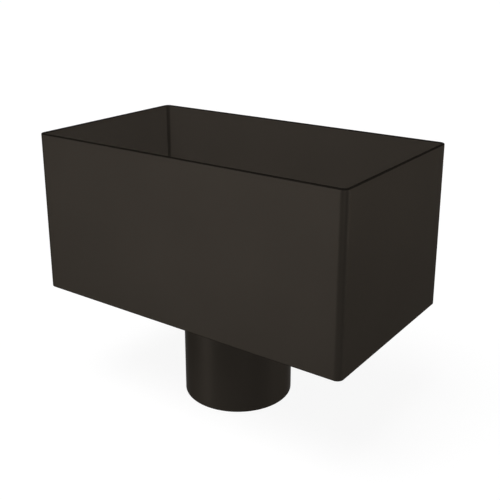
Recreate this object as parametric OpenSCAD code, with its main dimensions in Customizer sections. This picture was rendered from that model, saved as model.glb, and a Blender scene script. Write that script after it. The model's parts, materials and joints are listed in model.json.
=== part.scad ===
// Downpipe hopper head: an open rectangular box of folded sheet with a round outlet spigot.
// Millimetres, +Z up. The origin is the centre of the spigot's lower end. The front face looks
// along -Y and the flat back face, which goes against the wall, along +Y.

/* [Box] */
// Width of the box, outside, across its front face
box_w = 250; // [180:1:360]
// Depth of the box, outside, from front face to back face
box_d = 140; // [110:1:220]
// Height of the box from the underside of its base to the rim
box_h = 118; // [60:1:220]

/* [Sheet] */
// Thickness of the folded wall sheet
wall_t = 2; // [1:0.1:4]
// Inside radius of the four upright bends
bend_r = 2.5; // [2:0.1:8]
// Thickness of the flat base panel
base_t = 2; // [1:0.1:4]

/* [Outlet] */
// Outside diameter of the outlet spigot
spigot_d = 80; // [60:1:100]
// Wall thickness of the spigot tube
spigot_t = 2; // [1:0.1:4]
// Length of the spigot below the base
spigot_l = 75; // [40:1:140]

/* [Welds] */
// Gap between the edge of the base panel and the walls
panel_gap = 0.2; // [0.1:0.05:0.4]
// Radial gap between the spigot and its hole in the base
spigot_gap = 0.2; // [0.1:0.05:0.4]
// Leg of the fillet weld between base and walls
floor_weld = 2; // [1:0.1:2.5]
// Leg of the fillet weld between spigot and base
neck_weld = 3; // [1:0.1:4]

/* [Hidden] */
$fn = 96;
coat = "#342F2A";

// Level of the floor inside the box, above the spigot's lower end
floor_z = spigot_l + base_t;

// Clear inside of the folded wall
inner_w = box_w - 2 * wall_t;
inner_d = box_d - 2 * wall_t;

// Outside and inside radius of the spigot
outer_r = spigot_d / 2;
bore_r = outer_r - spigot_t;

// The weld in a bend can be no larger than the bend's own radius
floor_leg = min(floor_weld, bend_r);

// Flat rectangle with round corners, centred
module round_rect(w, d, r) {
    square([w - 2 * r, d], center = true);
    square([w, d - 2 * r], center = true);
    for (x = [-1, 1], y = [-1, 1])
        translate([x * (w / 2 - r), y * (d / 2 - r)])
            circle(r);
}

// Section of a fillet weld: right angle at the origin, one leg up and one leg along -X
module weld_section(leg) {
    polygon([[0, 0], [0, leg], [-leg, 0]]);
}

// Fillet weld along a wall at X = reach and round the bend at that wall's +Y end
module weld_side(reach, run) {
    translate([reach, run / 2, 0])
        rotate([90, 0, 0])
            linear_extrude(run)
                weld_section(floor_leg);
    translate([reach - bend_r, run / 2, 0])
        rotate_extrude(angle = 90)
            translate([bend_r, 0])
                weld_section(floor_leg);
}

// Strip of sheet folded round four upright bends, its butt seam ground flush on the back face
module wall_wrap() {
    color(coat)
        translate([0, 0, spigot_l])
            linear_extrude(box_h)
                difference() {
                    round_rect(box_w, box_d, bend_r + wall_t);
                    round_rect(inner_w, inner_d, bend_r);
                }
}

// Flat panel set inside the walls, flush with their lower edge, with the hole for the spigot
// and the fillet weld that runs round its edge
module base_panel() {
    color(coat) {
        translate([0, 0, spigot_l])
            linear_extrude(base_t)
                difference() {
                    round_rect(inner_w - 2 * panel_gap, inner_d - 2 * panel_gap, bend_r - panel_gap);
                    circle(outer_r + spigot_gap);
                }
        translate([0, 0, floor_z])
            for (turn = [0, 180]) {
                rotate(turn)
                    weld_side(inner_w / 2, inner_d - 2 * bend_r);
                rotate(turn + 90)
                    weld_side(inner_d / 2, inner_w - 2 * bend_r);
            }
    }
}

// Tube through the base, its upper end flush with the floor, with the fillet weld that holds it
// against the underside of the base
module outlet_spigot() {
    color(coat)
        rotate_extrude()
            polygon([
                [bore_r, 0],
                [outer_r, 0],
                [outer_r, spigot_l - neck_weld],
                [outer_r + neck_weld, spigot_l],
                [outer_r, spigot_l],
                [outer_r, floor_z],
                [bore_r, floor_z]
            ]);
}

wall_wrap();
base_panel();
outlet_spigot();
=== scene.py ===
"""Downpipe hopper head, dressed: a folded sheet box, its set-in base and a round outlet spigot.

Every piece is a numpy surface in metres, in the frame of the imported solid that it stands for.
"""

import json
import logging
import math
from dataclasses import dataclass
from enum import Enum

import bpy
import numpy as np
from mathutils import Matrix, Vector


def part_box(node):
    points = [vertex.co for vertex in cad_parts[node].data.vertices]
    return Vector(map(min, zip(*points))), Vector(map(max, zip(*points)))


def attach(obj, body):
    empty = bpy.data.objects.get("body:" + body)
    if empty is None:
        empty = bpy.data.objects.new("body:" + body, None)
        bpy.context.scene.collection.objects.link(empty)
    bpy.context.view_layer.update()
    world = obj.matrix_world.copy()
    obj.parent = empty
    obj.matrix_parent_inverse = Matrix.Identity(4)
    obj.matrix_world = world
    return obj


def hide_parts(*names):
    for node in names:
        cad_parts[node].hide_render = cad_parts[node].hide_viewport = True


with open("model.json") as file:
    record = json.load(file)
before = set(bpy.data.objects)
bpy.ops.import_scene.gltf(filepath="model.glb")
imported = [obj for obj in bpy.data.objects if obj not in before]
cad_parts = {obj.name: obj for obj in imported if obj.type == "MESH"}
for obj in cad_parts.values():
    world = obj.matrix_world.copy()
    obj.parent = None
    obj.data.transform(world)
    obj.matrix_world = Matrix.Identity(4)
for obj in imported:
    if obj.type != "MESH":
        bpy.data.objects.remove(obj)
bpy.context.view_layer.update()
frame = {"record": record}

MM = 0.001
LOG = logging.getLogger("hopper_head")
Colour = tuple[float, float, float, float]


class Slot(Enum):
    """The names of the record's material slots for the pieces."""

    WALL = "coated_wall"
    BASE = "coated_base"
    SPIGOT = "coated_spigot"


class Shadow(Enum):
    """Whether a lamp casts shadows or only fills."""

    CAST = True
    NONE = False


@dataclass(frozen=True)
class RoundedLoop:
    """A rectangle with round corners, as a core rectangle pushed out along a turning normal.

    The core is the rectangle of the four corner centres. A station on a side keeps that side's
    normal while its anchor travels along the core; a station in a corner keeps the corner's
    anchor while its normal turns by a quarter. A point is anchor + radius * normal.

    side_fractions says how far along each side its stations stand. The usual ones lie close to the
    side's two ends, so that smooth shading turns at the corners and stays flat in between.
    """

    width: float
    depth: float
    radius: float
    turn_steps: int = 12
    side_fractions: tuple[float, ...] = (0.0, 0.004, 0.996)

    def stations(self) -> tuple[np.ndarray, np.ndarray]:
        """Work out the stations once round, counter-clockwise from the start of the +X side.

        Returns:
            The anchors and the outward unit normals, each of shape (stations, 2).
        """
        half = np.array([self.width, self.depth]) / 2 - self.radius
        corners = half * np.array([[1, -1], [1, 1], [-1, 1], [-1, -1]])
        along = np.array(self.side_fractions)[:, None]
        turn = np.linspace(0, math.pi / 2, self.turn_steps, endpoint=False)
        anchors, angles = [], []
        for side, start in enumerate(corners):
            end = corners[(side + 1) % len(corners)]
            facing = side * math.pi / 2
            anchors += [start + along * (end - start), np.tile(end, (len(turn), 1))]
            angles += [np.full(len(along), facing), facing + turn]
        heading = np.concatenate(angles)
        return np.concatenate(anchors), np.stack([np.cos(heading), np.sin(heading)], axis=1)

    def points(self) -> np.ndarray:
        """Return the loop's own points, of shape (stations, 2)."""
        anchors, normals = self.stations()
        return anchors + self.radius * normals


def spaced(length: float, step: float) -> tuple[float, ...]:
    """Divide a side evenly into fractions no longer than a step.

    Args:
        length: The side's length.
        step: The longest distance between two stations.

    Returns:
        The fractions from 0 up to, but not including, 1.
    """
    count = math.ceil(length / step)
    return tuple(np.arange(count) / count)


def sweep(anchors: np.ndarray, normals: np.ndarray, reach: np.ndarray, height: np.ndarray) -> np.ndarray:
    """Carry a section along a path of anchors and normals.

    A point lies at anchor + reach * normal in plan, and at its height. reach and height have one
    row for every station, or one row that all stations share.

    Args:
        anchors: Plan anchors of shape (stations, 2).
        normals: Plan normals of shape (stations, 2).
        reach: Distances along the normal, of shape (section,) or (stations, section).
        height: Heights of the same shape.

    Returns:
        Points of shape (stations, section, 3).
    """
    shape = (len(anchors), reach.shape[-1])
    plan = anchors[:, None, :] + np.broadcast_to(reach, shape)[..., None] * normals[:, None, :]
    return np.concatenate([plan, np.broadcast_to(height, shape)[..., None]], axis=2)


def ring_mesh(name: str, points: np.ndarray) -> bpy.types.Object:
    """Turn a grid of points, closed in both directions, into a smooth mesh object at the origin.

    Cell (i, j) becomes the quad (i, j), (i+1, j), (i+1, j+1), (i, j+1), with both counters
    wrapping round, so the surface is a closed ring. Stations run counter-clockwise from above
    and sections counter-clockwise with the normal to the right, so the faces point outwards.

    Args:
        name: The object's name.
        points: Positions of shape (stations, section, 3), in metres.

    Returns:
        The new object, linked to the scene.
    """
    index = np.arange(points.shape[0] * points.shape[1]).reshape(points.shape[:2])
    after = np.roll(index, -1, axis=0)
    quads = np.stack([index, after, np.roll(after, -1, axis=1), np.roll(index, -1, axis=1)], axis=-1)
    mesh = bpy.data.meshes.new(name)
    mesh.from_pydata(points.reshape(-1, 3).tolist(), [], quads.reshape(-1, 4).tolist())
    mesh.polygons.foreach_set("use_smooth", np.ones(len(mesh.polygons), dtype=bool))
    mesh.update()
    piece = bpy.data.objects.new(name, mesh)
    bpy.context.scene.collection.objects.link(piece)
    return piece


@dataclass(frozen=True)
class SheetSection:
    """A cut through a sheet: a rectangle with softened edges, one radius below and one above.

    inner and outer are the reaches of its two faces, low and high the heights of its two edges.
    """

    inner: float
    outer: float
    low: float
    high: float
    low_edge: float
    high_edge: float
    edge_steps: int = 6

    def points(self) -> np.ndarray:
        """Take the lower half of one rounded rectangle and the upper half of another.

        Returns:
            Reaches and heights of shape (2, section), counter-clockwise.
        """
        width, height = self.outer - self.inner, self.high - self.low
        lower, upper = (
            RoundedLoop(width, height, radius, self.edge_steps).points()
            for radius in (self.low_edge, self.high_edge)
        )
        loop = np.where(upper[:, 1:] > 0, upper, lower)
        return (loop + [self.inner + width / 2, self.low + height / 2]).T


@dataclass(frozen=True)
class WeldBead:
    """A rippled fillet weld in the corner between two faces."""

    leg: float
    pitch: float
    dip: float
    bulge: float = 0.78
    skin_steps: int = 7
    ripple_steps: int = 8

    @property
    def step(self) -> float:
        """Distance between two stations that shows a ripple's shape."""
        return self.pitch / self.ripple_steps

    def legs(self, run: np.ndarray, length: float) -> tuple[np.ndarray, np.ndarray]:
        """Work out the bead's section at each distance run along its joint.

        With t from 0 to a quarter turn, the skin lies leg * (1 - (1 - cos t) ** bulge) out along
        one face and leg * (1 - (1 - sin t) ** bulge) along the other, and the last point is the
        root in the corner. A leg is shorter by the dip where two ripples meet: it loses
        dip * (1 - |cos p|), where the phase p gains half a turn with every ripple.

        Args:
            run: Distances along the joint, of shape (stations,).
            length: Length of the whole joint, which holds a whole number of ripples.

        Returns:
            Distances out along the two faces, each of shape (stations, section).
        """
        phase = math.pi * round(length / self.pitch) * run / length
        leg = (self.leg - self.dip * (1 - np.abs(np.cos(phase))))[:, None]
        turn = np.linspace(0, math.pi / 2, self.skin_steps)
        root = np.zeros_like(leg)
        first = np.concatenate([leg * (1 - (1 - np.cos(turn)) ** self.bulge), root], axis=1)
        second = np.concatenate([leg * (1 - (1 - np.sin(turn)) ** self.bulge), root], axis=1)
        return first, second


def grey(level: float) -> Colour:
    """Return an opaque grey of one level."""
    return (level, level, level, 1)


WHITE = grey(1)


def set_inputs(node: bpy.types.Node, **inputs: float | Colour) -> None:
    """Set a node's input sockets by name, with _ for a space in a socket's name."""
    for name, value in inputs.items():
        node.inputs[name.replace("_", " ")].default_value = value


def add_node(tree: bpy.types.NodeTree, kind: str, **inputs: float | Colour) -> bpy.types.Node:
    """Add a node and set its input sockets by name.

    Args:
        tree: The node tree.
        kind: The node's type name.
        inputs: Values for the input sockets, with _ for a space in a socket's name.

    Returns:
        The new node.
    """
    node = tree.nodes.new(kind)
    set_inputs(node, **inputs)
    return node


@dataclass(frozen=True)
class Grain:
    """A noise in the coat: the size of its grains, how far it swings and how fine it breaks up."""

    size: float
    depth: float
    detail: float

    def noise(self, tree: bpy.types.NodeTree, place: bpy.types.NodeSocket) -> bpy.types.NodeSocket:
        """Add the noise.

        Args:
            tree: The material's node tree.
            place: The socket of the coordinates that it reads.

        Returns:
            The socket of the noise's value, from 0 to 1.
        """
        noise = add_node(tree, "ShaderNodeTexNoise", Scale=1 / self.size, Detail=self.detail)
        tree.links.new(place, noise.inputs["Vector"])
        return noise.outputs["Fac"]


@dataclass(frozen=True)
class CoatFinish:
    """A satin powder coat with a little bronze flake: clouded colour, uneven gloss, orange peel.

    The flake is the share that mirrors like dark metal, and flake_edge tones its gloss at a
    glancing angle. The gloss swings only a little, because below a roughness of about 0.27 the
    renderer's noise filter takes the coat for a mirror and leaves dark dots.
    """

    name: str
    colour: tuple[float, float, float]
    roughness: float
    flake: float
    flake_edge: float = 0.46
    specular: float = 0.0
    cloud: Grain = Grain(size=60 * MM, depth=0.08, detail=4)
    gloss: Grain = Grain(size=9 * MM, depth=0.025, detail=3)
    peel: Grain = Grain(size=1.3 * MM, depth=0.016 * MM, detail=2)

    def material(self) -> bpy.types.Material:
        """Return the coat's material, made the first time that it is asked for."""
        return bpy.data.materials.get(self.name) or self.mix()

    def mix(self) -> bpy.types.Material:
        """Build the coat's node tree on Object coordinates.

        Returns:
            The new material.
        """
        material = bpy.data.materials.new(self.name)
        material.use_nodes = True
        tree = material.node_tree
        shader = tree.nodes["Principled BSDF"]
        set_inputs(
            shader,
            Metallic=self.flake,
            Specular_Tint=grey(self.flake_edge),
            Specular_IOR_Level=self.specular,
        )
        place = add_node(tree, "ShaderNodeTexCoord").outputs["Object"]

        cloud = add_node(tree, "ShaderNodeValToRGB")
        for stop, swing in zip(cloud.color_ramp.elements, (-self.cloud.depth, self.cloud.depth)):
            stop.color = (*(np.array(self.colour) * (1 + swing)), 1)
        tree.links.new(self.cloud.noise(tree, place), cloud.inputs["Fac"])
        tree.links.new(cloud.outputs["Color"], shader.inputs["Base Color"])

        gloss = add_node(
            tree,
            "ShaderNodeMapRange",
            To_Min=self.roughness - self.gloss.depth,
            To_Max=self.roughness + self.gloss.depth,
        )
        tree.links.new(self.gloss.noise(tree, place), gloss.inputs["Value"])
        tree.links.new(gloss.outputs["Result"], shader.inputs["Roughness"])

        peel = add_node(tree, "ShaderNodeBump", Distance=self.peel.depth)
        tree.links.new(self.peel.noise(tree, place), peel.inputs["Height"])
        tree.links.new(peel.outputs["Normal"], shader.inputs["Normal"])
        return material


COAT = CoatFinish("satin_bronze_coat", colour=(0.030, 0.0256, 0.0210), roughness=0.30, flake=0.25)
# Painted shade: a darker colour on the cut edges that stands in for the shade on the rim's upward faces.
EDGE_PAINTED_SHADE = CoatFinish("cut_edge_painted_shade", colour=(0.012, 0.0102, 0.0083), roughness=0.85, flake=0.0)


def finish_piece(piece: bpy.types.Object, slot: Slot, *nodes: str) -> None:
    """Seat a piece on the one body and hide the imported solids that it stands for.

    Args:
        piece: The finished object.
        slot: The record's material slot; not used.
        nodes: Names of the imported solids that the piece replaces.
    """
    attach(piece, "root")
    if nodes:
        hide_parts(*nodes)
    LOG.info("%s: %d faces", piece.name, len(piece.data.polygons))


@dataclass
class WallWrap:
    """The strip of sheet folded round four upright bends."""

    width: float
    depth: float
    low: float
    high: float
    sheet: float = 2 * MM
    bend: float = 4.5 * MM
    edge: float = 0.4 * MM
    rim_edge: float = 0.8 * MM
    # Faces that slope up or down more than this take the darker coat of painted shade.
    shade_slope: float = 0.12

    @property
    def inner_bend(self) -> float:
        """Inside radius of a bend."""
        return self.bend - self.sheet

    def build(self) -> bpy.types.Object:
        """Carry the sheet's section, a tall thin rounded rectangle, round the fold.

        Returns:
            The bare sheet.
        """
        fold = RoundedLoop(self.width, self.depth, self.bend)
        section = SheetSection(self.inner_bend, self.bend, self.low, self.high, self.edge, self.rim_edge)
        return ring_mesh("wall_sheet", sweep(*fold.stations(), *section.points()))

    def dress(self, piece: bpy.types.Object) -> None:
        """Coat the sheet, with a darker coat of painted shade on its cut edges, where faces slope up or
        down.

        Args:
            piece: The bare sheet.
        """
        for finish in (COAT, EDGE_PAINTED_SHADE):
            piece.data.materials.append(finish.material())
        normals = np.zeros(len(piece.data.polygons) * 3)
        piece.data.polygons.foreach_get("normal", normals)
        # painted shade: the rim and lower cut edges take the darker edge coat
        cut = np.abs(normals[2::3]) > self.shade_slope
        piece.data.polygons.foreach_set("material_index", cut.astype(np.int32))
        finish_piece(piece, Slot.WALL, "wall_wrap")


@dataclass
class BasePanel:
    """The flat base set inside the walls, with the outlet hole and the weld round its edge."""

    wall: WallWrap
    spigot_radius: float
    sheet: float = 2 * MM
    gap: float = 0.2 * MM
    edge: float = 0.3 * MM
    station_step: float = 6 * MM
    weld: WeldBead = WeldBead(leg=2 * MM, pitch=3.2 * MM, dip=0.16 * MM)

    @property
    def floor(self) -> float:
        """Level of the panel's upper face."""
        return self.wall.low + self.sheet

    def build_panel(self) -> bpy.types.Object:
        """Rule the panel between the round hole and the walls' rounded outline.

        Each station looks from the axis at an edge point, past the hole's rim. The panel's
        section there is a short square one whose outer half is pushed out to the edge point.

        Returns:
            The bare panel.
        """
        wall = self.wall
        inset = 2 * (wall.sheet + self.gap)
        outline = RoundedLoop(
            wall.width - inset,
            wall.depth - inset,
            wall.inner_bend - self.gap,
            side_fractions=spaced(wall.width, self.station_step),
        ).points()
        span = np.linalg.norm(outline, axis=1, keepdims=True)
        hole = self.spigot_radius + self.gap
        square = SheetSection(hole, hole + self.sheet, wall.low, self.floor, self.edge, self.edge)
        reach, height = square.points()
        outer_half = reach > (square.inner + square.outer) / 2
        stretched = np.where(outer_half, reach + span - square.outer, reach)
        return ring_mesh("base_sheet", sweep(np.zeros_like(outline), outline / span, stretched, height))

    def build_weld(self) -> bpy.types.Object:
        """Run the weld once round the floor, in the corner between panel and walls.

        Returns:
            The bare weld.
        """
        wall = self.wall
        sides = spaced(wall.width, self.weld.step)
        fold = RoundedLoop(wall.width, wall.depth, wall.bend, side_fractions=sides)
        anchors, normals = fold.stations()
        line = anchors + wall.inner_bend * normals
        steps = np.linalg.norm(np.roll(line, -1, axis=0) - line, axis=1)
        inwards, up = self.weld.legs(np.cumsum(steps) - steps, steps.sum())
        bead = sweep(anchors, normals, wall.inner_bend - inwards, self.floor + up)
        return ring_mesh("floor_weld", bead[:, ::-1])

    def dress(self, panel: bpy.types.Object, weld: bpy.types.Object) -> None:
        """Coat the panel and its weld.

        Args:
            panel: The bare panel.
            weld: The bare weld.
        """
        for piece in (panel, weld):
            piece.data.materials.append(COAT.material())
        finish_piece(panel, Slot.BASE, "base_panel")
        finish_piece(weld, Slot.BASE)


@dataclass
class OutletSpigot:
    """The round tube below the base, with the weld that joins it to the base's underside."""

    radius: float
    underside: float
    floor: float
    sheet: float = 2 * MM
    edge: float = 0.4 * MM
    facets: int = 192
    weld: WeldBead = WeldBead(leg=3 * MM, pitch=3.6 * MM, dip=0.2 * MM)

    def ring(self, count: int) -> tuple[np.ndarray, np.ndarray, np.ndarray]:
        """Set stations evenly round the axis.

        Args:
            count: How many stations there are.

        Returns:
            Their anchors, all on the axis, and their outward unit normals, each of shape (count, 2),
            and their angles.
        """
        angle = np.linspace(0, 2 * math.pi, count, endpoint=False)
        normals = np.stack([np.cos(angle), np.sin(angle)], axis=1)
        return np.zeros_like(normals), normals, angle

    def build_tube(self) -> bpy.types.Object:
        """Turn the tube's section, a tall thin rounded rectangle, about the axis.

        Returns:
            The bare tube.
        """
        bore = self.radius - self.sheet
        section = SheetSection(bore, self.radius, 0, self.floor, self.edge, self.edge)
        anchors, normals, _ = self.ring(self.facets)
        return ring_mesh("spigot_tube", sweep(anchors, normals, *section.points()))

    def build_weld(self) -> bpy.types.Object:
        """Turn the weld about the axis, in the corner between tube and underside.

        Returns:
            The bare weld.
        """
        around = 2 * math.pi * self.radius
        anchors, normals, angle = self.ring(math.ceil(around / self.weld.step))
        out, down = self.weld.legs(angle * self.radius, around)
        bead = sweep(anchors, normals, self.radius + out, self.underside - down)
        return ring_mesh("neck_weld", bead[:, ::-1])

    def dress(self, tube: bpy.types.Object, weld: bpy.types.Object) -> None:
        """Coat the tube and its weld.

        Args:
            tube: The bare tube.
            weld: The bare weld.
        """
        for piece in (tube, weld):
            piece.data.materials.append(COAT.material())
        finish_piece(tube, Slot.SPIGOT, "outlet_spigot")
        finish_piece(weld, Slot.SPIGOT)


def aim(azimuth: float, elevation: float) -> tuple[float, float, float]:
    """Return the turn that makes a lamp or camera look in from a direction given in degrees."""
    return (math.radians(90 - elevation), 0, math.radians(azimuth))


@dataclass(frozen=True)
class SoftLamp:
    """A broad lamp, far off, given by where it stands round the object."""

    name: str
    azimuth: float
    elevation: float
    level: float
    spread: float
    shadow: Shadow

    def hang(self) -> None:
        """Add the lamp. A level of 1 shows a facing surface in its own colour."""
        lamp = bpy.data.lights.new(self.name, "SUN")
        lamp.energy = math.pi * self.level
        lamp.angle = math.radians(self.spread)
        lamp.use_shadow = self.shadow.value
        lamp.cycles.use_multiple_importance_sampling = self.shadow.value
        stand = bpy.data.objects.new(self.name, lamp)
        stand.rotation_euler = aim(self.azimuth, self.elevation)
        bpy.context.scene.collection.objects.link(stand)
        LOG.info("lamp %s at %.0f, %.0f", self.name, self.azimuth, self.elevation)


@dataclass(frozen=True)
class Studio:
    """The plain pale floor, the soft light and the world behind."""

    lamps: tuple[SoftLamp, ...]
    ambient: float
    floor_colour: float
    floor_lift: float
    floor_radius: float = 12.0
    floor_facets: int = 96

    def shown(self, tree: bpy.types.NodeTree) -> bpy.types.NodeSocket:
        """Tell the rays that show the background, camera, glossy and see-through, from the others.

        Args:
            tree: The node tree of the world or of the floor.

        Returns:
            A socket that is 1 on those rays and 0 on the others.
        """
        path = add_node(tree, "ShaderNodeLightPath")
        shown = path.outputs["Is Camera Ray"]
        for kind in ("Is Glossy Ray", "Is Transmission Ray"):
            either = add_node(tree, "ShaderNodeMath")
            either.operation = "MAXIMUM"
            tree.links.new(shown, either.inputs[0])
            tree.links.new(path.outputs[kind], either.inputs[1])
            shown = either.outputs["Value"]
        return shown

    def light_world(self) -> None:
        """Set a world that is white where it is seen and dimmer where it lights."""
        world = bpy.data.worlds.new("studio_world")
        world.use_nodes = True
        tree = world.node_tree
        back = tree.nodes["Background"]
        set_inputs(back, Color=WHITE)
        strength = add_node(tree, "ShaderNodeMapRange", To_Min=self.ambient)
        tree.links.new(self.shown(tree), strength.inputs["Value"])
        tree.links.new(strength.outputs["Result"], back.inputs["Strength"])
        bpy.context.scene.world = world

    def lay_floor(self) -> None:
        """Lay a wide disc that takes the object's shadow."""
        angle = np.linspace(0, 2 * math.pi, self.floor_facets, endpoint=False)
        rim = self.floor_radius * np.stack([np.cos(angle), np.sin(angle), 0 * angle], axis=1)
        mesh = bpy.data.meshes.new("studio_floor")
        mesh.from_pydata(rim.tolist(), [], [list(range(self.floor_facets))])
        floor = bpy.data.objects.new("studio_floor", mesh)
        bpy.context.scene.collection.objects.link(floor)
        material = bpy.data.materials.new("pale_floor")
        material.use_nodes = True
        tree = material.node_tree
        shader = tree.nodes["Principled BSDF"]
        set_inputs(
            shader,
            Base_Color=grey(self.floor_colour),
            Roughness=1,
            Specular_IOR_Level=0,
            Emission_Color=WHITE,
        )
        lift = add_node(tree, "ShaderNodeMapRange", To_Max=self.floor_lift)
        tree.links.new(self.shown(tree), lift.inputs["Value"])
        tree.links.new(lift.outputs["Result"], shader.inputs["Emission Strength"])
        mesh.materials.append(material)

    def build(self) -> None:
        """Light the world, hang the lamps and lay the floor."""
        self.light_world()
        for lamp in self.lamps:
            lamp.hang()
        self.lay_floor()


@dataclass(frozen=True)
class PhotoCamera:
    """The camera at the photograph's viewing angle."""

    place: tuple[float, float, float]
    azimuth: float
    elevation: float
    focal_px: float
    shift: float
    image_px: float = 500
    sensor_mm: float = 36
    reach: float = 50

    def build(self) -> None:
        """Stand the camera in its place and make it the scene's own."""
        lens = bpy.data.cameras.new("photo_camera")
        lens.sensor_width = self.sensor_mm
        lens.lens = self.focal_px / self.image_px * self.sensor_mm
        lens.shift_y = self.shift
        lens.clip_end = self.reach
        stand = bpy.data.objects.new("photo_camera", lens)
        stand.location = self.place
        stand.rotation_euler = aim(self.azimuth, self.elevation)
        bpy.context.scene.collection.objects.link(stand)
        bpy.context.scene.camera = stand


CAMERA = PhotoCamera(
    place=(0.3223, -0.4389, 0.3148), azimuth=35.36, elevation=17.08, focal_px=798.1, shift=-0.10
)
STUDIO = Studio(
    lamps=(
        SoftLamp("front_fill", azimuth=-34, elevation=-8, level=0.345, spread=42, shadow=Shadow.NONE),
        SoftLamp("side_fill", azimuth=139, elevation=2, level=0.43, spread=50, shadow=Shadow.NONE),
        SoftLamp("back_fill", azimuth=-160, elevation=0, level=0.42, spread=50, shadow=Shadow.NONE),
        SoftLamp("corner_fill", azimuth=48, elevation=-4, level=0.15, spread=22, shadow=Shadow.NONE),
        SoftLamp("bend_glint", azimuth=112, elevation=-14, level=0.07, spread=20, shadow=Shadow.NONE),
        SoftLamp("key", azimuth=-20, elevation=68, level=0.60, spread=40, shadow=Shadow.CAST),
    ),
    ambient=0.12,
    floor_colour=0.15,
    floor_lift=0.905,
)


def main() -> None:
    """Build and dress the pieces in order, then the studio and the camera."""
    logging.basicConfig(level=logging.INFO, format="%(name)s %(message)s")
    mount = next(m for m in frame["record"]["mounts"] if m["name"] == "spigot_outside")
    spigot_radius = mount["dims"]["r_mm"] * MM
    low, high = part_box("wall_wrap")
    width, depth, _ = high - low

    wall = WallWrap(width, depth, low[2], high[2])
    wall.dress(wall.build())
    base = BasePanel(wall, spigot_radius)
    base.dress(base.build_panel(), base.build_weld())
    spigot = OutletSpigot(spigot_radius, underside=wall.low, floor=base.floor)
    spigot.dress(spigot.build_tube(), spigot.build_weld())

    STUDIO.build()
    CAMERA.build()
    bpy.context.scene.view_settings.view_transform = "Standard"


if __name__ == "__main__":
    main()
